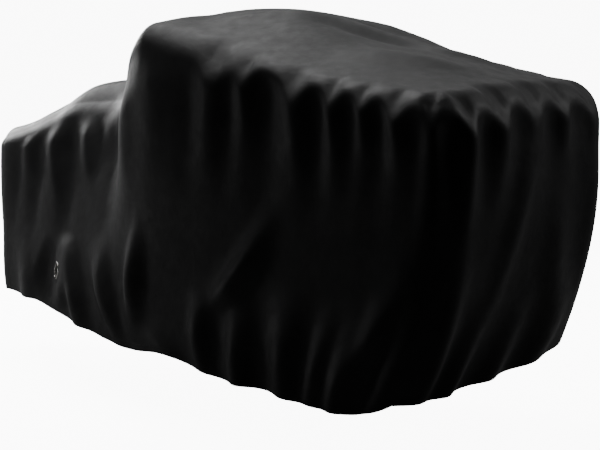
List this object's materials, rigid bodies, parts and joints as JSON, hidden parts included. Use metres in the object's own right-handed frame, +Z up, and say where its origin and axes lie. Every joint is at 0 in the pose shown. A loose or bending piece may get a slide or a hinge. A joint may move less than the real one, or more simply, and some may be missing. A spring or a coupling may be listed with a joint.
{
  "type": "fitted bicycle cover",
  "caption": "Black cloth cover for a load-carrying tricycle: tall boxy front, low narrow rear, loose folds down its sides and a metal lock eyelet near the hem.",
  "frame": {"origin": "on the underside of the cloth, at the middle of the tall part's top, where the cover rests on the hood", "axes": "+X towards the tall front end, +Y to the far side, away from the side with the eyelet, +Z up"},
  "size_m": [2.2212, 0.9262, 1.1077],
  "materials": {
    "cloth": "coated woven polyester, black, softly matt",
    "doubled_cloth": "doubled woven polyester, black, matt",
    "eyelet_metal": "nickel plate, rolled edges"
  },
  "bodies": {
    "root": {"cover_cloth": "cloth", "eyelet_patch": "doubled_cloth", "eyelet_ring": "eyelet_metal"}
  },
  "joints": []
}
